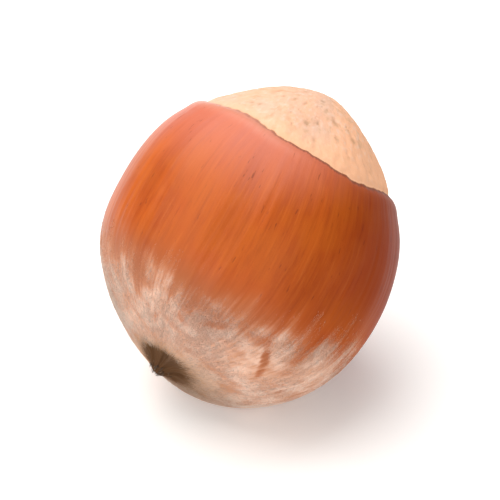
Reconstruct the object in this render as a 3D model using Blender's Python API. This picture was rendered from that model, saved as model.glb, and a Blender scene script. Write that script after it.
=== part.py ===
"""A ripe hazelnut in its closed shell, lying where it came to rest.

The nut is one solid. Its form is turned about its own axis, from the middle of the base scar to the tip. It
is then made uneven by formulas: broad and narrow sides, low ribs, a wavy scar rim, a lumpy scar and an axis
that bends on its way to the tip. The finished form is leaned over into its resting pose and gets the small
flat spot that it lies on. The origin is the middle of that spot, +Z is up, and the scar faces up, right and
back.
"""

import math

import bmesh
import bpy
import numpy as np
from mathutils import Matrix, Vector

# Driving dimensions, in metres.
NUT_WIDTH = 0.0200  # across the axis, from left to right
NUT_THICKNESS = 0.0203  # across the axis, from front to back
SHELL_LENGTH = 0.01777  # along the axis, from the rim of the scar to the round end
SCAR_WIDTH = 0.0142
SCAR_BULGE = 0.00416  # how far the middle of the scar stands out past its rim
TIP_WIDTH = 0.0032  # across the foot of the small bell that the tip is
TIP_HEIGHT = 0.0009

# Form of the side, as shares of the shell's length and as exponents of its two superellipse quarters.
WIDEST_AT = 0.46  # the widest place, counted from the rim
SCAR_END_POWER = 2.46
TIP_END_POWER = 2.27
SCAR_POWER = 1.15  # above 1 draws the scar's dome towards a low cone

# Resting pose, in degrees, from the nut standing on its tip.
SIDE_LEAN = 27.6  # scar to the right
BACK_LEAN = 35.0  # scar away from the front
SPOT_SOFTENING = 0.0014  # height over which the form flattens towards the resting spot
SPOT_CUT = 0.00012  # what the flat spot takes off the softened form

# Unevenness. Each wave is (count around the nut, share of the radius, phase in radians).
BODY_WAVES = ((2, 0.0165, -0.31), (3, 0.030, 2.73), (5, 0.005, 1.1))
RIB_WAVES = ((13, 0.0022, 0.7), (17, 0.0018, 2.6), (22, 0.0012, 5.1))
RIM_WAVES = ((2, 0.00030, 1.2), (3, 0.00022, 4.0), (7, 0.00012, 0.4))  # sizes in metres, along the side
BELLY_DRIFT = 0.00050  # how far the middle of the nut stands to the right of its ends
LEFT_BEND = (15.2, 2)  # degrees that the axis turns from rim to tip, and the power of the depth in its growth
FRONT_BEND = (20.0, 4)
LIP_HEIGHT = 0.00012  # the shell's raised edge round the scar
LIP_WIDTH = 0.00065
GROOVE_DEPTH = 0.00012  # the furrow between that edge and the scar
GROOVE_WIDTH = 0.00030
SCAR_LUMP = 0.00011
SCAR_LUMP_LENGTHS = (0.0028, 0.0065)  # shortest and longest wave in the scar
SCAR_LUMP_COUNT = 9
SCAR_SEED = 41

# Mesh density.
MERIDIANS = 80
PROFILE_SAMPLES = 400
SCAR_RINGS = 8
RIM_RINGS = (-0.0007, -0.0003, 0.0, 0.0004, 0.0009)  # metres along the side from the rim
SHELL_RINGS = 22
TIP_RINGS = 6

SHELL_COLOUR = (0.50, 0.13, 0.035, 1.0)
SHELL_ROUGHNESS = 0.42

HALF_WIDTH = NUT_WIDTH / 2


def clear_scene():
    for obj in list(bpy.data.objects):
        bpy.data.objects.remove(obj, do_unlink=True)


def scar_profile():
    """Radius and height of the scar's dome, from its middle to the rim at height 0."""
    share = np.linspace(0.0, 1.0, PROFILE_SAMPLES)
    return share * SCAR_WIDTH / 2, SCAR_BULGE * (1 - share**2) ** SCAR_POWER


def scar_end_profile():
    """A superellipse quarter from the rim, where it has the scar's radius, to the widest place."""
    drop = WIDEST_AT * SHELL_LENGTH
    rim_share = SCAR_WIDTH / NUT_WIDTH
    reach = drop / (1 - rim_share**SCAR_END_POWER) ** (1 / SCAR_END_POWER)
    above = np.linspace(drop, 0.0, PROFILE_SAMPLES)
    radius = HALF_WIDTH * (1 - (above / reach) ** SCAR_END_POWER) ** (1 / SCAR_END_POWER)
    return radius, above - drop


def tip_end_profile():
    """A superellipse quarter from the widest place to the foot of the tip."""
    drop = WIDEST_AT * SHELL_LENGTH
    turn = np.linspace(0.0, math.pi / 2, PROFILE_SAMPLES)
    radius = HALF_WIDTH * np.cos(turn) ** (2 / TIP_END_POWER)
    height = -drop - (SHELL_LENGTH - drop) * np.sin(turn) ** (2 / TIP_END_POWER)
    kept = radius > TIP_WIDTH / 2
    return radius[kept], height[kept]


def tip_profile(foot_height):
    """The small tip, a bell with a flared foot and a round point, from its foot to its point."""
    share = np.linspace(0.0, 1.0, PROFILE_SAMPLES)
    return TIP_WIDTH / 2 * (1 - share), foot_height - TIP_HEIGHT * (1 - np.cos(math.pi * share)) / 2


def side_profile():
    """The whole side as arc length, radius and height, and the arc lengths of the rim and the tip's foot."""
    scar = scar_profile()
    scar_end = scar_end_profile()
    tip_end = tip_end_profile()
    tip = tip_profile(tip_end[1][-1])
    radius = np.concatenate([scar[0], scar_end[0][1:], tip_end[0][1:], tip[0][1:]])
    height = np.concatenate([scar[1], scar_end[1][1:], tip_end[1][1:], tip[1][1:]])
    arc = np.concatenate([[0.0], np.cumsum(np.hypot(np.diff(radius), np.diff(height)))])
    return arc, radius, height, arc[PROFILE_SAMPLES - 1], arc[-PROFILE_SAMPLES]


def ring_arcs(rim_arc, foot_arc, end_arc):
    """Where the rings of the mesh lie along the side: close at the rim and on the tip, even elsewhere."""
    scar = np.linspace(0.0, rim_arc + RIM_RINGS[0], SCAR_RINGS, endpoint=False)
    rim = rim_arc + np.array(RIM_RINGS)
    shell = np.linspace(rim[-1], foot_arc, SHELL_RINGS)[1:]
    tip = np.linspace(foot_arc, end_arc, TIP_RINGS)[1:]
    return np.concatenate([scar, rim, shell, tip])


def waves(table, around):
    """Sum of the table's cosine waves round the nut."""
    return sum(size * np.cos(count * around + phase) for count, size, phase in table)


def hump(value, middle, width):
    """A smooth hump that is 1 at its middle."""
    return np.exp(-(((value - middle) / width) ** 2))


def scar_lumps(x, y):
    """Low lumps of the scar: cosine waves of several lengths in seeded directions, from -1 to 1."""
    draw = np.random.default_rng(SCAR_SEED)
    total = np.zeros_like(x)
    for _ in range(SCAR_LUMP_COUNT):
        heading = draw.uniform(0, math.tau)
        length = draw.uniform(*SCAR_LUMP_LENGTHS)
        phase = draw.uniform(0, math.tau)
        total += np.cos(math.tau / length * (x * math.cos(heading) + y * math.sin(heading)) + phase)
    return total / SCAR_LUMP_COUNT * 2


def grown_points(around, arc):
    """Points of the uneven nut, standing on its tip with the rim of the scar at height 0."""
    side_arc, side_radius, side_height, rim_arc, foot_arc = side_profile()
    end_arc = side_arc[-1]
    sway = hump(arc, rim_arc, 0.25 * foot_arc) * np.clip(arc / rim_arc * 3, 0, 1)
    place = np.clip(arc + waves(RIM_WAVES, around) * sway, 0, end_arc)
    radius = np.interp(place, side_arc, side_radius)
    height = np.interp(place, side_arc, side_height)
    step = 0.0002
    ahead = np.clip(place + step, 0, end_arc)
    behind = np.clip(place - step, 0, end_arc)
    run = np.interp(ahead, side_arc, side_radius) - np.interp(behind, side_arc, side_radius)
    rise = np.interp(ahead, side_arc, side_height) - np.interp(behind, side_arc, side_height)
    slope = np.hypot(run, rise)
    out_radius, out_height = -rise / slope, run / slope

    on_shell = np.clip((arc - rim_arc) / (foot_arc - rim_arc), 0, 1)
    body = np.sin(math.pi * np.clip(arc / foot_arc, 0, 1)) ** 0.6
    ribs = np.sin(math.pi * on_shell) ** 0.8
    relief = radius * ribs * waves(RIB_WAVES, around)
    relief += LIP_HEIGHT * hump(arc, rim_arc + LIP_WIDTH, LIP_WIDTH)
    relief -= GROOVE_DEPTH * hump(arc, rim_arc - GROOVE_WIDTH / 2, GROOVE_WIDTH)
    flat_x, flat_y = radius * np.cos(around), radius * np.sin(around)
    on_scar = np.clip((rim_arc - arc) / (0.15 * rim_arc), 0, 1)
    relief += SCAR_LUMP * on_scar * scar_lumps(flat_x, flat_y)

    radius = radius * (1 + body * waves(BODY_WAVES, around)) + out_radius * relief
    height = height + out_height * relief
    x = radius * np.cos(around)
    y = radius * np.sin(around) * NUT_THICKNESS / NUT_WIDTH
    x += BELLY_DRIFT * np.sin(math.pi * np.clip(-height / SHELL_LENGTH, 0, 1))
    y, height = bent(y, height, *FRONT_BEND)
    x, height = bent(x, height, *LEFT_BEND)
    return np.stack([x, y, height], axis=1)


def bent(aside, height, degrees, power):
    """Bends the nut below its rim: axis and levels turn to the low side by a power of the depth."""
    depth = np.clip(-height, 0, None)
    turn = math.radians(degrees) * (depth / SHELL_LENGTH) ** power
    bent_aside = aside * np.cos(turn) - depth * turn / (power + 1)
    bent_height = -aside * np.sin(turn) - depth * (1 - turn**2 / (4 * power + 2))
    return bent_aside, np.where(height < 0, bent_height, height)


def turned_form():
    """The plain turned form as a bmesh: its side's points spun round the axis, each with its arc length."""
    side_arc, side_radius, side_height, rim_arc, foot_arc = side_profile()
    form = bmesh.new()
    arc_layer = form.verts.layers.float.new("arc")
    side = []
    for arc in ring_arcs(rim_arc, foot_arc, side_arc[-1]):
        point = (np.interp(arc, side_arc, side_radius), 0.0, np.interp(arc, side_arc, side_height))
        vert = form.verts.new(point)
        vert[arc_layer] = arc
        side.append(vert)
    edges = [form.edges.new(pair) for pair in zip(side, side[1:])]
    bmesh.ops.spin(
        form,
        geom=side + edges,
        cent=(0, 0, 0),
        axis=(0, 0, 1),
        angle=math.tau,
        steps=MERIDIANS,
        use_merge=True,
    )
    bmesh.ops.remove_doubles(form, verts=form.verts[:], dist=1e-6)
    return form, arc_layer


def resting_pose():
    """Leans the standing nut to the right, then back."""
    aside = Matrix.Rotation(math.radians(SIDE_LEAN), 3, "Y")
    return Matrix.Rotation(math.radians(-BACK_LEAN), 3, "X") @ aside


def softened_foot(height):
    """Heights above the lowest point, eased so that the form levels out as it nears the surface."""
    eased = SPOT_SOFTENING / 2 + height**2 / (2 * SPOT_SOFTENING)
    return np.where(height < SPOT_SOFTENING, eased, height)


def build_hazelnut():
    form, arc_layer = turned_form()
    start = np.array([vert.co for vert in form.verts])
    arc = np.array([vert[arc_layer] for vert in form.verts])
    points = grown_points(np.arctan2(start[:, 1], start[:, 0]), arc)
    points = points @ np.array(resting_pose()).T
    points[:, 2] = softened_foot(points[:, 2] - points[:, 2].min())
    points[:, 2] -= SPOT_SOFTENING / 2 + SPOT_CUT
    for vert, point in zip(form.verts, points):
        vert.co = Vector(point)

    cut = bmesh.ops.bisect_plane(
        form,
        geom=form.verts[:] + form.edges[:] + form.faces[:],
        plane_co=(0, 0, 0),
        plane_no=(0, 0, -1),
        clear_outer=True,
    )
    border = [item for item in cut["geom_cut"] if isinstance(item, bmesh.types.BMEdge)]
    spot = bmesh.ops.contextual_create(form, geom=border)["faces"][0]
    middle = spot.calc_center_median()
    bmesh.ops.translate(form, verts=form.verts[:], vec=(-middle.x, -middle.y, 0))
    bmesh.ops.recalc_face_normals(form, faces=form.faces[:])
    bmesh.ops.triangulate(form, faces=form.faces[:])
    for face in form.faces:
        face.smooth = face.normal.z > -0.9999  # all but the flat spot

    mesh = bpy.data.meshes.new("hazelnut")
    form.to_mesh(mesh)
    form.free()
    hazelnut = bpy.data.objects.new("hazelnut", mesh)
    bpy.context.scene.collection.objects.link(hazelnut)
    return hazelnut


def shell_material():
    material = bpy.data.materials.new("nut_shell")
    material.use_nodes = True
    surface = material.node_tree.nodes["Principled BSDF"]
    surface.inputs["Base Color"].default_value = SHELL_COLOUR
    surface.inputs["Roughness"].default_value = SHELL_ROUGHNESS
    surface.inputs["Metallic"].default_value = 0.0
    return material


def main():
    clear_scene()
    hazelnut = build_hazelnut()
    hazelnut.data.materials.append(shell_material())


main()
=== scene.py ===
import math

import bpy
import numpy as np
from mathutils import Matrix, Vector


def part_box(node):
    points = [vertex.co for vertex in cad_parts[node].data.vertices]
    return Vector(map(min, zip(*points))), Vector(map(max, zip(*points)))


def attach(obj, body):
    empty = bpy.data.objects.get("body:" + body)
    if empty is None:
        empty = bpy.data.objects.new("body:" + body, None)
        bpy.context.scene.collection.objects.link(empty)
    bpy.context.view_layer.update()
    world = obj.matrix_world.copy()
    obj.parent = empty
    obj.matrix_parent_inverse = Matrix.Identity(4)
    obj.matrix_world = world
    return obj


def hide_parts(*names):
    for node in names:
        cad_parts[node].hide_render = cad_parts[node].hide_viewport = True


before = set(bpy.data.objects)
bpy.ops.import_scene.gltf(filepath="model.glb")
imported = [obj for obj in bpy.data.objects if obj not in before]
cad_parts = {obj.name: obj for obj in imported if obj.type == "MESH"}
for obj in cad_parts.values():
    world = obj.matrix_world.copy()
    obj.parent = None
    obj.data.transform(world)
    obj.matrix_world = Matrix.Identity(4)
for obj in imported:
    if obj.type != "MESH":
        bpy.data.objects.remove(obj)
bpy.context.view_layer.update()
cadLow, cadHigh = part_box("hazelnut")
print("stage: the packed solid is loaded,", [round(1000 * side, 2) for side in cadHigh - cadLow], "mm")

# The form, in metres and degrees: what the solid has, in the same formulas.
form = {
    "width": 0.0200,
    "thickness": 0.0203,
    "shellLength": 0.01777,  # from the rim of the scar to the round end
    "scarWidth": 0.0142,
    "scarBulge": 0.00416,
    "tipWidth": 0.0032,
    "tipHeight": 0.0009,
    "widestAt": 0.46,  # share of the shell's length, from the rim
    "scarEndPower": 2.46,
    "tipEndPower": 2.27,
    "scarPower": 1.15,
    "sideLean": 27.6,
    "backLean": 35.0,
    "spotSoftening": 0.0014,
    "spotCut": 0.00012,
    # Count round the nut, share of the radius and phase; the rim's sizes are metres along the side.
    "bodyWaves": ((2, 0.0165, -0.31), (3, 0.030, 2.73), (5, 0.005, 1.1)),
    "ribWaves": ((13, 0.0022, 0.7), (17, 0.0018, 2.6), (22, 0.0012, 5.1)),
    "rimWaves": ((2, 0.00030, 1.2), (3, 0.00022, 4.0), (7, 0.00012, 0.4)),
    "bellyDrift": 0.00050,
    "leftBend": (15.2, 2),  # degrees from rim to tip, and the power of the depth in its growth
    "frontBend": (20.0, 4),
    "lipHeight": 0.00012,
    "lipWidth": 0.00065,
    "grooveDepth": 0.00012,
    "grooveWidth": 0.00030,
    "scarLump": 0.00011,
    "scarLumpLengths": (0.0028, 0.0065),
    "scarLumpCount": 9,
    "scarSeed": 41,
    "scarLumpFade": 0.15,  # of the scar's radius, inside the rim
    "rimSway": 0.25,  # of the side, over which the rim's waves fade
    "rimSwayRise": 3,  # how soon they set in from the scar's middle
    "bodyPower": 0.6,
    "ribPower": 0.8,
    "slopeStep": 0.0002,
    "samples": 900,
    "trialGrid": (240, 400),  # points round and along, to find where the nut rests
}


def sideProfile():
    # The side from the scar's middle to the point, with the running length along it: a power dome, a
    # superellipse quarter out to the widest place, another in to the tip's foot, and half a cosine wave.
    half = form["width"] / 2
    drop = form["widestAt"] * form["shellLength"]
    share = np.linspace(0, 1, form["samples"])
    scarRadius = share * form["scarWidth"] / 2
    scarHeight = form["scarBulge"] * (1 - share**2) ** form["scarPower"]

    power = form["scarEndPower"]
    reach = drop / (1 - (form["scarWidth"] / form["width"]) ** power) ** (1 / power)
    above = drop * (1 - share)
    upperRadius = half * (1 - (above / reach) ** power) ** (1 / power)

    turn = share * math.pi / 2
    lowerRadius = half * np.cos(turn) ** (2 / form["tipEndPower"])
    lowerHeight = -drop - (form["shellLength"] - drop) * np.sin(turn) ** (2 / form["tipEndPower"])
    kept = lowerRadius > form["tipWidth"] / 2
    lowerRadius, lowerHeight = lowerRadius[kept], lowerHeight[kept]

    tipRadius = form["tipWidth"] / 2 * (1 - share)
    tipHeight = lowerHeight[-1] - form["tipHeight"] * (1 - np.cos(math.pi * share)) / 2

    radius = np.concatenate([scarRadius, upperRadius[1:], lowerRadius[1:], tipRadius[1:]])
    height = np.concatenate([scarHeight, above[1:] - drop, lowerHeight[1:], tipHeight[1:]])
    arc = np.concatenate([[0.0], np.cumsum(np.hypot(np.diff(radius), np.diff(height)))])
    return arc, radius, height, arc[len(share) - 1], arc[-len(share)]


sideArc, sideRadius, sideHeight, rimArc, footArc = sideProfile()
endArc = sideArc[-1]


def wavesAround(table, around):
    # Sum of cosines round the nut, each with its own count, size and phase.
    return sum(size * np.cos(count * around + phase) for count, size, phase in table)


def hump(value, middle, width):
    # A bell curve that is 1 at its middle.
    return np.exp(-(((value - middle) / width) ** 2))


def smoothStep(value, low, high):
    # 0 below low, 1 above high, and the cubic 3t^2 - 2t^3 between them.
    share = np.clip((value - low) / (high - low), 0, 1)
    return share * share * (3 - 2 * share)


def planeWaves(places, lengths, count, seed):
    # Sum of cosine waves through the places, over the root of their count; each has a direction, a length
    # and a phase drawn from the seed.
    draw = np.random.default_rng(seed)
    total = np.zeros(len(places))
    for _ in range(count):
        heading = draw.normal(size=places.shape[1])
        heading /= np.linalg.norm(heading)
        total += np.cos(math.tau / draw.uniform(*lengths) * (places @ heading) + draw.uniform(0, math.tau))
    return total / math.sqrt(count)


# How lines along the nut sway and fade, in metres along the side.
streakForm = {"swayLengths": (0.002, 0.005), "fadeLengths": (0.0015, 0.004), "fading": 0.4}


def streakWaves(around, along, counts, number, sway, seed):
    # Lines along the meridians: cosines of a whole count round the nut, whose phase sways along the side and
    # whose height fades and returns, summed over the root of their number.
    fading = streakForm["fading"]
    draw = np.random.default_rng(seed)
    total = np.zeros(len(around))
    for _ in range(number):
        count = draw.integers(*counts)
        swayed = sway * np.sin(along / draw.uniform(*streakForm["swayLengths"]) + draw.uniform(0, math.tau))
        fade = np.cos(along / draw.uniform(*streakForm["fadeLengths"]) + draw.uniform(0, math.tau))
        fade = 1 - fading + fading * fade
        total += fade * np.cos(count * around + swayed + draw.uniform(0, math.tau))
    return total / math.sqrt(number)


def scatter(column, row, seed):
    # A steady random share for each pair of whole numbers: products of the pair, folded by shifts.
    value = column.astype(np.int64) * 73856093 ^ row.astype(np.int64) * 19349663 ^ seed * 83492791
    value = (value & 0xFFFFFFF) * 12741261
    value ^= value >> 15
    return (value & 0xFFFF) / 65536


def cells(x, y, size, seed):
    # One random point in each square cell: distances to the nearest and to the second nearest, in cells.
    nearest = np.full(len(x), 9.0)
    second = nearest.copy()
    column, row = np.floor(x / size), np.floor(y / size)
    for stepX in (-1, 0, 1):
        for stepY in (-1, 0, 1):
            pointX = column + stepX + scatter(column + stepX, row + stepY, seed)
            pointY = row + stepY + scatter(column + stepX, row + stepY, seed + 1)
            distance = np.hypot(pointX - x / size, pointY - y / size)
            second = np.minimum(second, np.maximum(nearest, distance))
            nearest = np.minimum(nearest, distance)
    return nearest, second


# The relief that the solid leaves out, in metres. Waves give the fewest and most round the nut, their
# number, their sway and a seed; dents give lengths, number and seed; cells give size and seed.
relief = {
    "striaeHeight": 0.000008,
    "striaeWaves": ((38, 120), 16, 1.4, 5),
    "dentHeight": 0.000020,
    "dentWaves": ((0.0035, 0.0090), 14, 8),
    "rimRaggedness": 0.00007,
    "rimRaggedWidth": 0.0006,
    "rimRaggedWaves": ((14, 60), 9, 0, 77),
    "scarGrainCells": (0.00042, 3),
    "scarGrainHeight": 0.000030,
    "scarClodCells": (0.00115, 12),
    "scarClodHeight": 0.000055,
    "scarRayHeight": 0.000022,
    "scarRayWaves": ((16, 46), 8, 0.8, 31),
    "scarRayRange": (0.45, 0.95),  # shares of the scar's radius where they begin and are full
    "scarRayStretch": 3,
    "clodMost": 0.6,
    # Metres from the rim or the tip's foot over which each part of the relief comes in.
    "shellRange": (0.0002, 0.0012),
    "footFade": 0.0005,
    "scarRange": (-0.0007, -0.0001),
    "tipRange": (-0.0006, 0.0002),
    # Share of the scar's radius, count and width; then how far they stray round and out, and their girths.
    "poreRings": ((0.30, 11, 0.00016), (0.58, 21, 0.00019), (0.80, 30, 0.00014)),
    "poreStray": (0.38, 0.09),
    "poreGirths": (0.6, 1.3),
    "poreDepth": 0.00007,
    "poreSeed": 23,
    "tipRidges": ((9, 0.055, 0.4), (14, 0.04, 2.2)),  # count, share of the radius, phase
}


def porePlaces():
    # Places of the scar's pores: rings of points, each shaken round its even place.
    draw = np.random.default_rng(relief["poreSeed"])
    byTurn, byShare = relief["poreStray"]
    rows = []
    for share, count, width in relief["poreRings"]:
        turn = (np.arange(count) + draw.uniform(-byTurn, byTurn, count)) * math.tau / count
        out = form["scarWidth"] / 2 * (share + draw.uniform(-byShare, byShare, count))
        widths = width * draw.uniform(*relief["poreGirths"], count)
        rows.append(np.stack([out * np.cos(turn), out * np.sin(turn), widths], 1))
    return np.concatenate(rows)


def poreShare(x, y):
    # One bell for each pore, and the highest of them at each place.
    total = np.zeros(len(x))
    for poreX, poreY, width in porePlaces():
        total = np.maximum(total, np.exp(-((x - poreX) ** 2 + (y - poreY) ** 2) / width**2))
    return total


def fineRelief(around, arc, x, y):
    # Height along the normal: lines and dents on the shell, and clods, grain, rays and pores on the scar.
    onShell = smoothStep(arc, rimArc + relief["shellRange"][0], rimArc + relief["shellRange"][1])
    onShell = onShell * (1 - smoothStep(arc, footArc - relief["footFade"], footArc))
    onScar = 1 - smoothStep(arc, rimArc + relief["scarRange"][0], rimArc + relief["scarRange"][1])
    spots = np.stack([x, y, np.interp(arc, sideArc, sideHeight)], 1)
    lines = streakWaves(around, arc, *relief["striaeWaves"])
    dents = planeWaves(spots, *relief["dentWaves"])
    grain, _ = cells(x, y, *relief["scarGrainCells"])
    clods, clodsNext = cells(x, y, *relief["scarClodCells"])
    rays = streakWaves(around, arc * relief["scarRayStretch"], *relief["scarRayWaves"])
    rays = rays * smoothStep(arc / rimArc, *relief["scarRayRange"])
    raised = onShell * (relief["striaeHeight"] * lines + relief["dentHeight"] * dents)
    raised += onScar * relief["scarGrainHeight"] * (0.5 - grain)
    raised += onScar * relief["scarClodHeight"] * np.clip(clodsNext - clods, 0, relief["clodMost"])
    raised += onScar * relief["scarRayHeight"] * rays
    raised -= onScar * relief["poreDepth"] * poreShare(x, y)
    return raised


def standingPoints(around, arc, fine):
    # The nut on its tip: the profile's point, moved along its normal by the relief, swelled by the body
    # waves, scaled from front to back, drifted, and bent to the front and to the left.
    sway = hump(arc, rimArc, form["rimSway"] * footArc)
    sway = sway * np.clip(arc / rimArc * form["rimSwayRise"], 0, 1)
    ragged = streakWaves(around, np.zeros(len(arc)), *relief["rimRaggedWaves"]) * fine
    ragged = relief["rimRaggedness"] * ragged * hump(arc, rimArc, relief["rimRaggedWidth"])
    place = np.clip(arc + wavesAround(form["rimWaves"], around) * sway + ragged, 0, endArc)
    radius, height = np.interp(place, sideArc, sideRadius), np.interp(place, sideArc, sideHeight)
    step = form["slopeStep"]
    ahead, behind = np.clip(place + step, 0, endArc), np.clip(place - step, 0, endArc)
    run = np.interp(ahead, sideArc, sideRadius) - np.interp(behind, sideArc, sideRadius)
    rise = np.interp(ahead, sideArc, sideHeight) - np.interp(behind, sideArc, sideHeight)
    slope = np.hypot(run, rise)

    onShell = np.clip((arc - rimArc) / (footArc - rimArc), 0, 1)
    body = np.sin(math.pi * np.clip(arc / footArc, 0, 1)) ** form["bodyPower"]
    ribs = np.sin(math.pi * onShell) ** form["ribPower"]
    raised = radius * ribs * wavesAround(form["ribWaves"], around)
    raised += form["lipHeight"] * hump(arc, rimArc + form["lipWidth"], form["lipWidth"])
    raised -= form["grooveDepth"] * hump(arc, rimArc - form["grooveWidth"] / 2, form["grooveWidth"])
    x, y = radius * np.cos(around), radius * np.sin(around)
    onScar = np.clip((rimArc - arc) / (form["scarLumpFade"] * rimArc), 0, 1)
    raised += form["scarLump"] * onScar * scarLumps(x, y)
    if fine:
        raised += fineRelief(around, arc, x, y)
        onTip = smoothStep(arc, footArc + relief["tipRange"][0], footArc + relief["tipRange"][1])
        raised += radius * onTip * wavesAround(relief["tipRidges"], around)

    radius = radius * (1 + body * wavesAround(form["bodyWaves"], around)) - rise / slope * raised
    height = height + run / slope * raised
    x = radius * np.cos(around)
    y = radius * np.sin(around) * form["thickness"] / form["width"]
    x += form["bellyDrift"] * np.sin(math.pi * np.clip(-height / form["shellLength"], 0, 1))
    y, height = bent(y, height, *form["frontBend"])
    x, height = bent(x, height, *form["leftBend"])
    return np.stack([x, y, height], 1)


def bent(aside, height, degrees, power):
    # Below the rim the axis turns to the low side by a power of the depth, and the levels turn with it.
    depth = np.clip(-height, 0, None)
    turn = math.radians(degrees) * (depth / form["shellLength"]) ** power
    bentHeight = -aside * np.sin(turn) - depth * (1 - turn**2 / (4 * power + 2))
    return aside * np.cos(turn) - depth * turn / (power + 1), np.where(height < 0, bentHeight, height)


def scarLumps(x, y):
    # The solid's own low lumps: twice the mean of seeded cosine waves over the scar.
    draw = np.random.default_rng(form["scarSeed"])
    total = np.zeros(len(x))
    for _ in range(form["scarLumpCount"]):
        heading = draw.uniform(0, math.tau)
        length = draw.uniform(*form["scarLumpLengths"])
        phase = draw.uniform(0, math.tau)
        total += np.cos(math.tau / length * (x * math.cos(heading) + y * math.sin(heading)) + phase)
    return total / form["scarLumpCount"] * 2


sideTurn = Matrix.Rotation(math.radians(form["sideLean"]), 3, "Y")
backTurn = Matrix.Rotation(math.radians(-form["backLean"]), 3, "X")
leaned = np.array(backTurn @ sideTurn).T


def laidDown(points, lowest):
    # Leans the points over, eases their height near the surface by a parabola and levels the spot itself.
    points = points @ leaned
    height = points[:, 2] - lowest
    soft = form["spotSoftening"]
    height = np.where(height < soft, soft / 2 + height**2 / (2 * soft), height)
    points[:, 2] = np.maximum(height - soft / 2 - form["spotCut"], 0)
    return points


def findPlace():
    # The lowest height of the leaned form, and the shift that puts its box on the solid's box.
    columns, rings = form["trialGrid"]
    turns = np.linspace(0, math.tau, columns, endpoint=False)
    around, arc = np.meshgrid(turns, np.linspace(0, endArc, rings))
    standing = standingPoints(around.ravel(), arc.ravel(), False)
    lowest = (standing @ leaned)[:, 2].min()
    laid = laidDown(standing, lowest)
    middle = (laid.min(0) + laid.max(0)) / 2
    shift = (np.array(cadLow) + np.array(cadHigh)) / 2 - middle
    shift[2] = 0
    return lowest, shift


lowestHeight, boxShift = findPlace()


def nutPoints(around, arc, fine=False):
    # The points of the nut as it lies: built on its tip, leaned over and shifted on to the solid.
    return laidDown(standingPoints(around, arc, fine), lowestHeight) + boxShift


# Where the pale down lies, in metres below the rim's level and in degrees round the nut.
down = {
    "edge": 0.0122,  # depth where it half covers the shell
    "edgeWaves": (  # count round the nut, metres, phase
        (1, 0.00158, 2.88), (2, 0.0008, 4.22), (3, 0.0003, 3.37), (5, 0.00034, 0.95), (9, 0.0003, 2.0),
    ),
    "softness": 0.0062,  # depth over which it thickens from nothing to full
    # Pull on the edge; then the fewest and most round the nut, number, sway and seed.
    "streaks": (
        (0.09, (8, 26), 16, 1.2, 64),
        (0.08, (26, 70), 16, 1.2, 65),
        (0.08, (80, 200), 16, 1.2, 66),
    ),
    "blotchPull": 0.10,
    "blotchWaves": ((0.0010, 0.0040), 24, 91),  # lengths, number and seed
    "thinning": 0.34,  # how bare its thinnest spots are
    "thinWaves": ((0.0010, 0.0034), 14, 17),
    "thinRange": (-0.2, 1.6),
    "depthSqueeze": 0.5,  # draws the spots out along the nut
    "frayByBlotch": 0.35,
    "frayByStreak": 0.45,
    "markRange": (0.05, 0.95),  # of a mark's bell, from no wear to full
    # Degrees round, metres from the rim, half width, half length, turn in degrees, strength.
    "marks": (
        (307, 0.0155, 0.00034, 0.00190, 39, 0.75),
        (276, 0.0157, 0.00045, 0.00130, -42, 0.50),
        (240, 0.0194, 0.00028, 0.00110, -17, 0.40),
        (249, 0.0146, 0.00042, 0.00220, -6, 0.60),
        (225, 0.0150, 0.00036, 0.00200, 0, 0.50),
        (335, 0.0160, 0.00030, 0.00070, 20, 0.40),
        (30, 0.0168, 0.00040, 0.00130, -12, 0.60),
        (95, 0.0152, 0.00036, 0.00160, 16, 0.50),
        (150, 0.0175, 0.00030, 0.00130, -28, 0.45),
        (190, 0.0185, 0.00024, 0.00120, 10, 0.35),
    ),
}


def downShare(around, arc):
    # How much down covers a place: a smooth step along the depth, pulled about by streaks and blotches,
    # thinned by low waves, less a slim turned bell with a frayed edge for each worn mark.
    depth = -np.interp(arc, sideArc, sideHeight) * (arc > rimArc)
    radius = np.interp(arc, sideArc, sideRadius)
    along = depth * down["depthSqueeze"]
    spots = np.stack([radius * np.cos(around), radius * np.sin(around), along], 1)
    edge = down["edge"] + wavesAround(down["edgeWaves"], around)
    blotches = planeWaves(spots, *down["blotchWaves"])
    share = 0.5 + (depth - edge) / down["softness"] + down["blotchPull"] * blotches
    for pull, *waves in down["streaks"]:
        streaks = streakWaves(around, arc, *waves)
        share += pull * streaks
    thin = smoothStep(planeWaves(spots, *down["thinWaves"]), *down["thinRange"])
    covered = smoothStep(share, 0, 1) * (1 - down["thinning"] * thin)
    for degrees, run, halfWidth, halfLength, turn, strength in down["marks"]:
        offAside = np.angle(np.exp(1j * (around - math.radians(degrees)))) * radius
        offAhead = arc - rimArc - run
        cosine, sine = math.cos(math.radians(turn)), math.sin(math.radians(turn))
        across = offAside * cosine - offAhead * sine
        lengthwise = offAside * sine + offAhead * cosine
        bell = np.exp(-((across / halfWidth) ** 2) - (lengthwise / halfLength) ** 2)
        bell = bell * (1 + down["frayByBlotch"] * blotches + down["frayByStreak"] * streaks)
        covered = covered * (1 - strength * smoothStep(bell, *down["markRange"]))
    return covered


# How far the tip's brown reaches over the shell, in metres, least and most, and the side where it is most.
# Near the tip the brown is a stain; its longer reach on the low side, by the table, is painted shade.
tipBrownAndShade = {"least": 0.0022, "most": 0.0085, "degrees": 22}


def tipShare(around, arc):
    # 1 on the tip, falling evenly to 0 at a reach that grows and shrinks by a cosine round the nut.
    toSide = 0.5 + 0.5 * np.cos(around - math.radians(tipBrownAndShade["degrees"]))
    reach = tipBrownAndShade["least"] + (tipBrownAndShade["most"] - tipBrownAndShade["least"]) * toSide
    return 1 - np.clip((footArc - arc) / reach, 0, 1)


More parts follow.
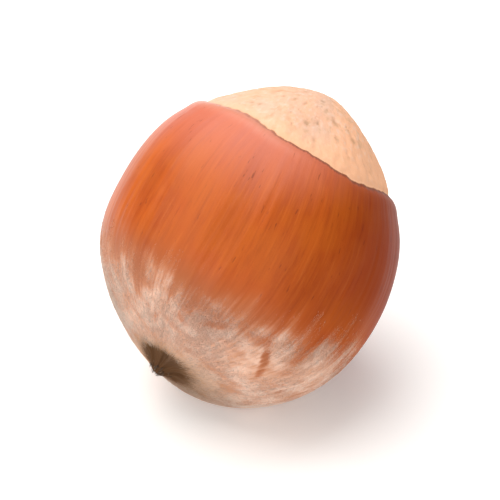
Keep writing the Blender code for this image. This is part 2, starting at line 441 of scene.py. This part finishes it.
def meshPiece(name, points, faces, attributes):
    # A mesh object at the origin, shaded smooth, with a value or a vector for each point in each attribute.
    mesh = bpy.data.meshes.new(name)
    mesh.from_pydata(points, [], faces)
    mesh.shade_smooth()
    for title, values in attributes.items():
        kind, field = ("FLOAT", "value") if values.ndim == 1 else ("FLOAT_VECTOR", "vector")
        layer = mesh.attributes.new(title, kind, "POINT")
        layer.data.foreach_set(field, values.astype(np.float32).ravel())
    piece = bpy.data.objects.new(name, mesh)
    bpy.context.scene.collection.objects.link(piece)
    return piece


# The skin's mesh.
skin = {
    "columns": 480,
    "rings": 206,
    "rimCrowding": 2.6,  # how many times closer the rings lie there than on the plain shell
    "tipCrowding": 1.6,
    "scarCrowding": 0.55,
    "rimSpread": 0.0007,  # metres over which each crowding fades
    "tipSpread": 0.0015,
    "scarSpread": 0.001,
    "arcSteps": 4000,
}


def ringArcs():
    # Ring places along the side: even steps of the summed density of rings.
    arc = np.linspace(0, endArc, skin["arcSteps"])
    density = 1 + skin["rimCrowding"] * hump(arc, rimArc, skin["rimSpread"])
    density += skin["tipCrowding"] * smoothStep(arc, footArc - skin["tipSpread"], footArc)
    density += skin["scarCrowding"] * (1 - smoothStep(arc, rimArc - skin["scarSpread"], rimArc))
    summed = np.concatenate([[0], np.cumsum(density[1:])])
    return np.interp(np.linspace(0, summed[-1], skin["rings"] + 2), summed, arc)[1:-1]


def buildSkin():
    # Rings of points round the axis with one point at each pole: quads join the rings, fans close the poles.
    columns, arcs = skin["columns"], ringArcs()
    rings = len(arcs)
    gridAround, gridArc = np.meshgrid(np.arange(columns) * math.tau / columns, arcs)
    around = np.concatenate([[0], gridAround.ravel(), [0]])
    arc = np.concatenate([[0], gridArc.ravel(), [endArc]])
    points = nutPoints(around, arc, True)

    here = 1 + np.arange(rings * columns).reshape(rings, columns)
    beside = np.roll(here, -1, axis=1)
    quads = np.stack([here[:-1], here[1:], beside[1:], beside[:-1]], -1).reshape(-1, 4)
    first = np.stack([np.zeros(columns, int), here[0], beside[0]], 1)
    last = np.stack([np.full(columns, rings * columns + 1), beside[-1], here[-1]], 1)
    faces = quads.tolist() + first.tolist() + last.tolist()

    # What the finish reads is in millimetres; grain goes round a circle of 10 and along the side.
    radius = np.interp(arc, sideArc, sideRadius)
    x, y = radius * np.cos(around), radius * np.sin(around)
    attributes = {
        "fromRim": (arc - rimArc) * 1000,
        "tipBrownAndShade": tipShare(around, arc),
        "downCover": downShare(around, arc),
        "pores": poreShare(x, y) * (arc < rimArc),
        "grain": np.stack([10 * np.cos(around), 10 * np.sin(around), arc * 1000], 1),
        "level": np.stack([x, y, arc * 0], 1) * 1000,
    }
    return meshPiece("nut", points, faces, attributes)


nut = buildSkin()
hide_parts("hazelnut")
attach(nut, "root")
print("stage: skin,", len(nut.data.vertices), "points,", len(nut.data.polygons), "faces")


# Down: short hairs that lie towards the tip. Lengths in metres, lift off the surface and yaw in degrees.
hairSets = {
    "down_felt": {
        "count": 48000,
        "seed": 101,
        "length": (0.00014, 0.00030),
        "width": 0.000024,
        "lift": (2, 15),
        "yaw": 36,
        "sparse": 0.16,  # cover below which it has no hairs
        "stretches": 1,
    },
    "down_short": {
        "count": 19500,
        "seed": 202,
        "length": (0.00018, 0.00036),
        "width": 0.000020,
        "lift": (3, 16),
        "yaw": 28,
        "sparse": 0.10,
        "stretches": 2,
    },
    "down_fringe": {
        "count": 19500,
        "seed": 303,
        "length": (0.00020, 0.00044),
        "width": 0.000018,
        "lift": (3, 16),
        "yaw": 18,
        "sparse": 0.05,
        "stretches": 2,
    },
}


# What all the hairs share.
hairForm = {
    "tries": 12,  # places drawn for each hair that is wanted
    "thinLength": 0.55,  # of the full length, where the down is thinnest
    "bentLift": 0.2,  # of the lift, past the bend
    "girths": (0.7, 1.25),
    "sunk": 0.000012,
    "tubeShares": (0.5, 0.42),  # radius at the root and at the bend, in widths
    "clearance": 0.00025,  # above the table
    "tipFade": (0.80, 0.96),  # shares of the tip's brown between which the down ends
    "frameStep": 0.00005,
    "leastRadius": 0.0003,
}


def hairRoots(count, draw, weight):
    # Random places, even over the surface, kept where a random share is below the weight there.
    spread = np.cumsum(sideRadius)
    tries = count * hairForm["tries"]
    arc = np.interp(draw.uniform(0, spread[-1], tries), spread, sideArc)
    around = draw.uniform(0, math.tau, tries)
    kept = draw.uniform(0, 1, tries) < weight(around, arc)
    return around[kept][:count], arc[kept][:count]


def unit(vectors):
    # The vectors, each scaled to a length of 1.
    return vectors / np.linalg.norm(vectors, axis=1, keepdims=True)


def surfaceFrames(around, arc):
    # The place, the way towards the tip, the outward normal and the way round, from small steps.
    step = hairForm["frameStep"]
    place = nutPoints(around, arc)
    along = unit(nutPoints(around, np.minimum(arc + step, endArc)) - nutPoints(around, arc - step))
    radius = np.maximum(np.interp(arc, sideArc, sideRadius), hairForm["leastRadius"])
    aside = unit(nutPoints(around + step / radius, arc) - nutPoints(around - step / radius, arc))
    normal = unit(np.cross(along, aside))
    return place, along, normal, unit(np.cross(normal, along))


def hairFaces(stretches):
    # Triangles of one hair: a closed root, three sides along each stretch and three up to the point.
    faces = [(0, 2, 1)]
    for first in range(0, 3 * stretches, 3):
        for side in range(3):
            low, lowNext = first + side, first + (side + 1) % 3
            if first + 3 < 3 * stretches:
                faces += [(low, lowNext, lowNext + 3), (low, lowNext + 3, low + 3)]
            else:
                faces.append((low, lowNext, 3 * stretches))
    return np.array(faces)


def buildHairs(name, settings, around, arc, draw):
    # Each hair is a three-sided tapered tube: up from its root, and bent back down if it has two stretches.
    # Where the down is thin, its hairs are shorter too.
    count, stretches = len(around), settings["stretches"]
    cover = downShare(around, arc)
    place, along, normal, aside = surfaceFrames(around, arc)
    yaw = np.radians(draw.normal(0, settings["yaw"], count))[:, None]
    lift = np.radians(draw.uniform(*settings["lift"], count))[:, None]
    fullness = hairForm["thinLength"] + (1 - hairForm["thinLength"]) * cover
    length = (draw.uniform(*settings["length"], count) * fullness)[:, None] / stretches
    heading = along * np.cos(yaw) + aside * np.sin(yaw)
    first = heading * np.cos(lift) + normal * np.sin(lift)
    lowLift = lift * hairForm["bentLift"]
    second = heading * np.cos(lowLift) + normal * np.sin(lowLift)
    side = unit(np.cross(first, normal))
    over = np.cross(side, first)
    width = settings["width"] * draw.uniform(*hairForm["girths"], count)[:, None]
    root = place - normal * hairForm["sunk"]
    joints = [root, root + first * length, root + first * length + second * length]
    rows = []
    for centre, share in zip(joints[:stretches], hairForm["tubeShares"]):
        for turn in (math.pi / 2, math.pi * 7 / 6, math.pi * 11 / 6):
            rows.append(centre + width * share * (side * math.cos(turn) + over * math.sin(turn)))
    points = np.stack([*rows, joints[stretches]], 1)
    corners = points.shape[1]
    points = points.reshape(-1, 3)
    points[:, 2] = np.maximum(points[:, 2], 0)
    faces = (hairFaces(stretches)[None] + corners * np.arange(count)[:, None, None]).reshape(-1, 3)
    attributes = {
        "tint": np.repeat(draw.uniform(0, 1, count), corners),
        "reach": np.tile(np.append(np.repeat(np.arange(stretches), 3) / stretches, 1.0), count),
        "downCover": np.repeat(cover, corners),
        "tipBrownAndShade": np.repeat(tipShare(around, arc), corners),
    }
    return meshPiece(name, points, faces.tolist(), attributes)


def buildDown(name, settings):
    # Hairs where the down is thicker than the set's least cover, off the dark tip and clear of the table.
    draw = np.random.default_rng(settings["seed"])

    def weight(around, arc):
        clear = nutPoints(around, arc)[:, 2] > hairForm["clearance"]
        offTip = 1 - smoothStep(tipShare(around, arc), *hairForm["tipFade"])
        cover = (downShare(around, arc) - settings["sparse"]) / (1 - settings["sparse"])
        return clear * offTip * np.clip(cover, 0, 1)

    around, arc = hairRoots(settings["count"], draw, weight)
    return buildHairs(name, settings, around, arc, draw)


downPieces = [buildDown(name, settings) for name, settings in hairSets.items()]
for piece in downPieces:
    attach(piece, "root")
    print("stage:", piece.name, len(piece.data.polygons), "faces")

# The withered remains on the tip: stiff dark bristles round the point.
remains = {
    "count": 60,
    "seed": 31,
    "length": (0.00018, 0.00042),
    "width": 0.00006,
    "lift": (10, 60),
    "yaw": 22,
    "spread": 0.0005,
    "fromPoint": 0.0003,
    "stretches": 2,
}


def buildRemains():
    # Bristles round the point, fewer with the distance from it by half a bell curve.
    draw = np.random.default_rng(remains["seed"])
    away = np.abs(draw.normal(0, 1, remains["count"])) * remains["spread"]
    arc = endArc - remains["fromPoint"] - away
    around = draw.uniform(0, math.tau, remains["count"])
    return buildHairs("tip_bristles", remains, around, arc, draw)


bristles = buildRemains()
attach(bristles, "root")
print("stage: bristles on the tip,", remains["count"])


class Wire:
    # A node's output that takes plain maths: each operator adds one Math node.
    def __init__(self, output):
        self.output = output
        self.tree = output.id_data

    def maths(self, operation, first, second):
        made = self.tree.nodes.new("ShaderNodeMath")
        made.operation = operation
        plug(made.inputs[0], first)
        plug(made.inputs[1], second)
        return Wire(made.outputs[0])

    def __add__(self, other):
        return self.maths("ADD", self, other)

    def __radd__(self, other):
        return self.maths("ADD", other, self)

    def __sub__(self, other):
        return self.maths("SUBTRACT", self, other)

    def __rsub__(self, other):
        return self.maths("SUBTRACT", other, self)

    def __mul__(self, other):
        return self.maths("MULTIPLY", self, other)

    def __rmul__(self, other):
        return self.maths("MULTIPLY", other, self)


def plug(socket, value):
    # A link for a Wire, and a plain setting for anything else.
    if isinstance(value, Wire):
        socket.id_data.links.new(value.output, socket)
    else:
        socket.default_value = value


class Finish:
    # A material in the making. node() adds any node but plain maths; the rest are short forms of it.
    def __init__(self, name, constants):
        self.material = bpy.data.materials.new(name)
        self.material.use_nodes = True
        self.tree = self.material.node_tree
        self.shader = self.tree.nodes["Principled BSDF"]
        for socket, value in constants.items():
            self.shader.inputs[socket].default_value = value

    def node(self, kind, settings, inputs, output=0):
        made = self.tree.nodes.new("ShaderNode" + kind)
        for setting, value in settings.items():
            setattr(made, setting, value)
        for socket, value in inputs.items():
            plug(made.inputs[socket], value)
        return Wire(made.outputs[output])

    def attribute(self, name, output="Fac"):
        return self.node("Attribute", {"attribute_name": name}, {}, output)

    def stretched(self, vector, scale):
        return self.node("VectorMath", {"operation": "MULTIPLY"}, {0: vector, 1: scale})

    def noise(self, vector, scale, detail, roughness, distortion=0.0):
        inputs = {"Vector": vector, "Scale": scale, "Detail": detail, "Roughness": roughness}
        return self.node("TexNoise", {}, {**inputs, "Distortion": distortion})

    def voronoi(self, vector, scale):
        return self.node("TexVoronoi", {}, {"Vector": vector, "Scale": scale}, "Distance")

    def step(self, value, low, high):
        inputs = {"Value": value, "From Min": low, "From Max": high}
        return self.node("MapRange", {"interpolation_type": "SMOOTHSTEP"}, inputs)

    def mix(self, factor, first, second):  # sockets 0, 6 and 7 are the factor and the two colours
        return self.node("Mix", {"data_type": "RGBA"}, {0: factor, 6: first, 7: second}, 2)

    def bump(self, height, distance, strength):
        return self.node("Bump", {}, {"Height": height, "Distance": distance, "Strength": strength})

    def feed(self, links):
        for socket, wire in links.items():
            plug(self.shader.inputs[socket], wire)
        return self.material


def tone(red, green, blue):
    # A display colour from 0 to 255 as the linear colour that the shader takes.
    shares = np.array([red, green, blue]) / 255
    linear = np.where(shares < 0.04045, shares / 12.92, ((shares + 0.055) / 1.055) ** 2.4)
    return (*linear.tolist(), 1.0)


# The skin's tones, its noises and the soft layers that they carry.
shellLook = {
    "deep": tone(140, 52, 12),
    "body": tone(190, 86, 20),
    "bright": tone(216, 116, 42),
    "russetAndShade": tone(124, 28, 8),  # the redder right side, darkened as painted shade away from the light
    "amber": tone(194, 98, 18),
    "blushAndSheen": tone(216, 122, 100),  # the pinker band under the rim, partly a painted highlight where the light falls, narrower to the right
    "rimPale": tone(236, 176, 152),  # the pale edge itself, on the left
    "dull": tone(157, 95, 60),  # bare skin low on the nut, among the down
    "line": tone(104, 50, 26),
    "fleck": tone(96, 38, 18),
    "skinDown": tone(236, 196, 173),
    "skinDownDark": tone(203, 147, 115),
    "skinDownThin": tone(197, 127, 89),  # where the down begins
    # Tan near the tip: a stain, with painted shade where it reaches far on the low side.
    "stainAndShade": tone(170, 134, 102),
    "tip": tone(90, 62, 40),
    "scar": tone(230, 188, 162),
    "scarPale": tone(238, 208, 190),
    "scarWarm": tone(254, 188, 148),
    "scarPeach": tone(255, 193, 151),  # towards the right
    "scarDark": tone(198, 164, 130),
    "pore": tone(160, 122, 84),
    "shellRoughness": 0.40,
    "streakRoughness": 0.16,
    "downRoughness": 0.75,
    "scarRoughness": 0.86,
    "coat": 0.50,
    "bumpDistance": 0.00003,
    "bumpStrength": 0.8,
    "sockets": {"IOR": 1.46, "Specular IOR Level": 0.05, "Coat Roughness": 0.34, "Coat IOR": 1.45},
    # Noises on the grain: how much it is squeezed round and along the nut, detail and roughness.
    "grainNoises": {
        "fine": ((3.4, 3.4, 0.22), 4.0, 0.62),
        "broad": ((0.75, 0.75, 0.10), 3.0, 0.5),
        "threads": ((9.0, 9.0, 0.5), 2.0, 0.5),
        "cloud": ((0.16, 0.16, 0.16), 3.0, 0.55),
        "flecks": ((4.5, 4.5, 0.9), 2.0, 0.5),
        "tufts": ((4.2, 4.2, 0.45), 4.0, 0.6),
    },
    # Noises on the scar: scale, detail, roughness and distortion.
    "scarNoises": {
        "patches": (0.36, 4.0, 0.6, 0.4),
        "crumbs": (2.6, 3.0, 0.6, 0.0),
        "blots": (1.15, 3.0, 0.6, 0.0),
    },
    "speckScale": 1.5,
    # Layers, each over the one before: noise, where it begins, where it is full, share and tone.
    "shellLayers": (
        ("fine", 0.50, 0.74, 0.28, "bright"),
        ("fine", 0.48, 0.30, 0.38, "deep"),
        ("threads", 0.56, 0.70, 0.14, "bright"),
        ("cloud", 0.48, 0.70, 0.22, "bright"),
        ("cloud", 0.52, 0.38, 0.35, "amber"),
    ),
    "fleckLayers": (("flecks", 0.67, 0.75, 0.50, "fleck"),),
    "scarLayers": (
        ("blots", 0.52, 0.68, 0.45, "scarDark"),
        ("crumbs", 0.48, 0.72, 0.60, "scarPale"),
        ("crumbs", 0.42, 0.28, 0.35, "scarDark"),
    ),
}


# Soft light and dark spots, a millimetre or two across, that the down's skin and its hairs share.
feltSpots = {"scale": 620.0, "detail": 2.0, "roughness": 0.55, "begin": 0.38, "full": 0.60}


def feltMottle(finish):
    # A soft step over a noise in space.
    place = finish.node("TexCoord", {}, {}, "Object")
    spots = finish.noise(place, feltSpots["scale"], feltSpots["detail"], feltSpots["roughness"])
    return finish.step(spots, feltSpots["begin"], feltSpots["full"])


def skinMaps(finish):
    # What the tones follow: the skin's attributes, the place from left to right, and the noises.
    grain, level = finish.attribute("grain", "Vector"), finish.attribute("level", "Vector")
    maps = {title: finish.attribute(title) for title in ("fromRim", "tipBrownAndShade", "downCover", "pores")}
    maps["rightward"] = finish.node("SeparateXYZ", {}, {"Vector": grain}, "X")
    for title, (squeeze, detail, roughness) in shellLook["grainNoises"].items():
        maps[title] = finish.noise(finish.stretched(grain, squeeze), 1.0, detail, roughness)
    for title, settings in shellLook["scarNoises"].items():
        maps[title] = finish.noise(level, *settings)
    maps["specks"] = finish.voronoi(level, shellLook["speckScale"])
    return maps


def layered(finish, colour, maps, layers):
    # The colour with each soft layer mixed over it in turn.
    for title, begin, full, share, toneName in layers:
        colour = finish.mix(finish.step(maps[title], begin, full) * share, colour, shellLook[toneName])
    return colour


def shellColour(finish, maps):
    # Streaks and clouds, a russet right side darkened as painted shade, a pink band under the rim that is
    # partly a painted highlight, a pale edge under the rim, and flecks; the tones deepen and dull with the
    # distance from the rim.
    look, fromRim, rightward, broad = shellLook, maps["fromRim"], maps["rightward"], maps["broad"]
    colour = finish.mix(finish.step(broad, 0.30, 0.66) * 0.5 + 0.5, look["deep"], look["body"])
    colour = layered(finish, colour, maps, look["shellLayers"])
    # Painted shade: the right side, away from the light, is darkened to a deeper red, more so near the rim.
    redderAndShaded = finish.step(rightward + broad * 3.0, 3.5, 11.0)
    redderAndShaded = redderAndShaded * (0.1 + finish.step(fromRim, 11.5, 6.5) * 0.55)
    colour = finish.mix(redderAndShaded, colour, look["russetAndShade"])
    # Partly a painted highlight: a pink band under the rim, wide on the lit left and narrower to the right.
    slimmer = finish.step(rightward, 0.0, 8.0) * 2.6
    nearRim = finish.step(fromRim + broad * 2.0 + rightward * 0.2 + slimmer, 6.8, 0.2)
    colour = finish.mix(nearRim * 0.7, colour, look["blushAndSheen"])
    paleEdge = finish.step(fromRim + (maps["fine"] - 0.5) * 0.8, 1.5, 0.1) * finish.step(rightward, 3.0, -6.0)
    colour = finish.mix(paleEdge * 0.5, colour, look["rimPale"])
    colour = layered(finish, colour, maps, look["fleckLayers"])
    colour = finish.mix(finish.step(fromRim + broad * 2.0, 6.0, 11.0) * 0.16, colour, look["deep"])
    return finish.mix(finish.step(fromRim + broad * 3.0, 12.0, 17.0) * 0.8, colour, look["dull"])


def downColour(finish, maps, shell, torn):
    # The shell, under the down's own skin by the share torn: darker between tufts, tan where the down is
    # thin, and brown near the tip, partly a stain and partly painted shade where it reaches far on the low
    # side, by the table.
    look, stainAndShade, uneven = shellLook, maps["tipBrownAndShade"], maps["tufts"] - 0.5
    lighter = finish.step(maps["tufts"], 0.34, 0.60) * 0.5 + feltMottle(finish) * 0.5
    felt = finish.mix(lighter, look["skinDownDark"], look["skinDown"])
    thinner = finish.step(maps["downCover"] + (maps["fine"] - 0.5) * 0.4, 0.95, 0.35)
    felt = finish.mix(thinner * 0.85, felt, look["skinDownThin"])
    colour = finish.mix(torn * 0.92, shell, felt)
    # Tan near the tip, partly painted shade on the low side.
    colour = finish.mix(finish.step(stainAndShade + uneven * 0.4, 0.30, 0.95) * 0.75, colour, look["stainAndShade"])
    return finish.mix(finish.step(stainAndShade + uneven * 0.6, 0.72, 0.98), colour, look["tip"])


def scarColour(finish, maps):
    # Warm patches, peach to the right and beside the rim, blots and crumbs, freckles and pores.
    look, patches, rightward = shellLook, maps["patches"], maps["rightward"]
    colour = finish.mix(finish.step(patches, 0.62, 0.30) * 0.6, look["scar"], look["scarWarm"])
    peachy = finish.step(rightward + patches * 4.0, 2.0, 8.0)
    colour = finish.mix(peachy * 0.8, colour, look["scarPeach"])
    colour = layered(finish, colour, maps, look["scarLayers"])
    freckles = finish.step(maps["specks"], 0.13, 0.05) * finish.step(patches, 0.50, 0.60)
    colour = finish.mix(freckles * 0.5, colour, look["pore"])
    colour = finish.mix(maps["pores"] * 0.5, colour, look["pore"])
    sunken = finish.step(maps["fromRim"] + maps["crumbs"] * 0.6 + rightward * 0.16, -2.4, 0.2)
    return finish.mix(sunken * 0.7, colour, look["scarPeach"])


def rimLine(finish, maps):
    # Share of the thin dark line between scar and shell: a step on each side of it, fainter to the left.
    above = finish.step(maps["fromRim"] + (maps["threads"] - 0.5) * 0.2, -0.16, -0.02)
    below = finish.step(maps["fromRim"] + (maps["fine"] - 0.5) * 0.5, 0.42, 0.10)
    strength = finish.step(maps["rightward"] + maps["broad"] * 4.0, -7.0, 3.0) * 0.55 + 0.2
    return above * below * strength


def shellFinish():
    # Scar inside the rim, shell outside it, down's skin over the shell. The gloss lies on the bare shell
    # alone and fades to none on the right side, where the colour is painted darker as shade.
    look = shellLook
    finish = Finish("nutSkin", look["sockets"])
    maps = skinMaps(finish)
    fine, tufts = maps["fine"], maps["tufts"]
    torn = finish.step(maps["downCover"] * 1.1 + (fine - 0.5) * 0.4 + (tufts - 0.5) * 0.45, 0.05, 1.1)
    isScar = finish.step(maps["fromRim"] + (fine - 0.5) * 0.16, 0.03, -0.05)
    colour = downColour(finish, maps, shellColour(finish, maps), torn)
    colour = finish.mix(isScar, colour, scarColour(finish, maps))
    colour = finish.mix(rimLine(finish, maps), colour, look["line"])

    rough = look["shellRoughness"] + (fine - 0.5) * look["streakRoughness"]
    rough = rough + torn * (look["downRoughness"] - look["shellRoughness"])
    rough = rough + isScar * (look["scarRoughness"] - look["shellRoughness"])
    duller = finish.step(maps["rightward"], 1.5, 8.0)
    coat = look["coat"] * (1 - torn) * (1 - isScar) * (1 - duller)

    shellHeight = fine * 0.6 + maps["threads"] * 0.4 + torn * tufts * 0.9
    scarHeight = maps["crumbs"] * 1.6 - finish.step(maps["specks"], 0.22, 0.05) * 0.9
    height = (1 - isScar) * shellHeight + isScar * scarHeight
    raised = finish.bump(height, look["bumpDistance"], look["bumpStrength"])
    return finish.feed({"Base Color": colour, "Roughness": rough, "Coat Weight": coat, "Normal": raised})


downLook = {
    "pale": tone(250, 232, 219),
    "straw": tone(244, 213, 192),
    "shaded": tone(208, 153, 121),  # the darker spots, and near the roots
    "thin": tone(212, 142, 102),  # where the down begins
    "greyReflection": tone(208, 186, 170),  # the greyer left side, a painted reflection
    "greyReflectionRange": (-0.0030, -0.0090),  # where on the left the painted reflection begins and is full, in metres
    # Brown on the hairs near the tip: a stain, with painted shade where it reaches far on the low side.
    "stainedAndShaded": tone(170, 136, 106),
    "sockets": {"Roughness": 0.62, "IOR": 1.5, "Sheen Weight": 0.2, "Sheen Roughness": 0.5},
}


def downFinish():
    # Each hair between straw and pale by its own tint, then shaded, greyed on the left as a painted
    # reflection, tanned, and browned near the tip, partly a stain and partly painted shade on the low side,
    # in turn.
    look = downLook
    finish = Finish("downHair", look["sockets"])
    tint, reach = finish.attribute("tint"), finish.attribute("reach")
    cover, stainAndShade = finish.attribute("downCover"), finish.attribute("tipBrownAndShade")
    colour = finish.mix(finish.step(tint, 0.15, 0.95), look["straw"], look["pale"])
    colour = finish.mix((1 - feltMottle(finish)) * 0.45 + (1 - reach) * 0.15, colour, look["shaded"])
    place = finish.node("TexCoord", {}, {}, "Object")
    # Painted reflection: the hairs on the left side are greyed.
    leftward = finish.step(finish.node("SeparateXYZ", {}, {"Vector": place}, "X"), *look["greyReflectionRange"])
    colour = finish.mix(leftward * 0.6, colour, look["greyReflection"])
    colour = finish.mix(finish.step(cover + tint * 0.25, 1.05, 0.40) * 0.85, colour, look["thin"])
    colour = finish.mix(finish.step(stainAndShade + tint * 0.15, 0.35, 1.05) * 0.85, colour, look["stainedAndShaded"])
    return finish.feed({"Base Color": colour})


bristleLook = {
    "dark": tone(74, 56, 42),
    "light": tone(150, 124, 98),
    "sockets": {"Roughness": 0.7, "IOR": 1.5},
}


def bristleFinish():
    # From dark to light by the hair's own tint, lighter towards its point.
    look = bristleLook
    finish = Finish("witheredTip", look["sockets"])
    tint, reach = finish.attribute("tint"), finish.attribute("reach")
    colour = finish.mix(finish.step(tint, 0.3, 1.0) * (0.4 + reach * 0.6), look["dark"], look["light"])
    return finish.feed({"Base Color": colour})


nut.data.materials.append(shellFinish())
downMaterial = downFinish()
for piece in downPieces:
    piece.data.materials.append(downMaterial)
bristles.data.materials.append(bristleFinish())
print("stage: finishes")

# The table, the light and the camera.
studio = {
    "floorHalf": 1.5,
    "floorTone": tone(243, 242, 240),
    "floorFleck": tone(228, 227, 225),
    "fibreScale": 900.0,
    "fibreShare": 0.04,
    "floorGlow": 0.26,  # light that the white table gives off, which keeps the shadow pale
    "worldTone": (0.93, 0.96, 1.0, 1.0),
    "worldStrength": 0.29,
    "elevation": 35.0,  # the photograph looks down on this nut by about as much
    "distance": 0.37,  # about 18 widths of the nut, as in the photograph
    "nutShare": 0.62,  # of the picture's height
    "depthShare": 0.35,  # of the nut's depth, that the slanted view adds to its height
    "sensor": 36.0,
    "nearClip": 0.01,
}
lamps = {  # place, side of the square, power in watts, colour
    "key": ((-0.15, 0.12, 0.56), 0.70, 5.0, (1.0, 0.98, 0.96)),
    "side": ((-0.40, -0.24, 0.22), 0.40, 0.8, (1.0, 0.99, 0.97)),
    "front": ((0.02, -0.50, 0.20), 0.46, 0.6, (1.0, 0.98, 0.96)),
}


def buildFloor():
    # One flat square with faint fibres, giving off a faint glow: painted light that keeps the shadow pale.
    half = studio["floorHalf"]
    corners = np.array([(-half, -half, 0), (half, -half, 0), (half, half, 0), (-half, half, 0)])
    floor = meshPiece("floor", corners, [(0, 1, 2, 3)], {})
    glow = {"Emission Color": studio["floorTone"], "Emission Strength": studio["floorGlow"]}
    finish = Finish("paleTable", {"Roughness": 0.6, **glow})
    place = finish.node("TexCoord", {}, {}, "Object")
    fibre = finish.noise(place, studio["fibreScale"], 2.0, 0.5)
    colour = finish.mix(fibre * studio["fibreShare"], studio["floorTone"], studio["floorFleck"])
    floor.data.materials.append(finish.feed({"Base Color": colour}))


def buildLight(name, place, side, power, colour):
    # A square lamp turned to the nut's middle.
    lamp = bpy.data.lights.new(name, "AREA")
    lamp.shape = "SQUARE"
    lamp.size = side
    lamp.energy = power
    lamp.color = colour
    holder = bpy.data.objects.new(name, lamp)
    holder.location = place
    aim = Vector((0, 0, (cadLow.z + cadHigh.z) / 2)) - Vector(place)
    holder.rotation_euler = aim.to_track_quat("-Z", "Y").to_euler()
    bpy.context.scene.collection.objects.link(holder)


def buildWorld():
    # An even pale light from all round.
    world = bpy.data.worlds.new("studio")
    world.use_nodes = True
    backdrop = world.node_tree.nodes["Background"]
    backdrop.inputs["Color"].default_value = studio["worldTone"]
    backdrop.inputs["Strength"].default_value = studio["worldStrength"]
    bpy.context.scene.world = world


def buildCamera():
    # The lens frames the nut's height, as seen from the camera's elevation, to its share of the picture.
    rise = math.radians(studio["elevation"])
    size = cadHigh - cadLow
    middle = (cadLow + cadHigh) / 2
    seenHeight = size.z * math.cos(rise) + size.y * studio["depthShare"] * math.sin(rise)
    camera = bpy.data.cameras.new("camera")
    camera.sensor_width = studio["sensor"]
    camera.lens = studio["sensor"] * studio["distance"] * studio["nutShare"] / seenHeight
    camera.clip_start = studio["nearClip"]
    holder = bpy.data.objects.new("camera", camera)
    away = Vector((0, -math.cos(rise), math.sin(rise)))
    holder.location = middle + away * studio["distance"]
    holder.rotation_euler = (-away).to_track_quat("-Z", "Y").to_euler()
    bpy.context.scene.collection.objects.link(holder)
    bpy.context.scene.camera = holder


buildFloor()
for name, (place, side, power, colour) in lamps.items():
    buildLight(name, place, side, power, colour)
buildWorld()
buildCamera()
bpy.context.scene.view_settings.view_transform = "Standard"
print("stage: table, light and camera")
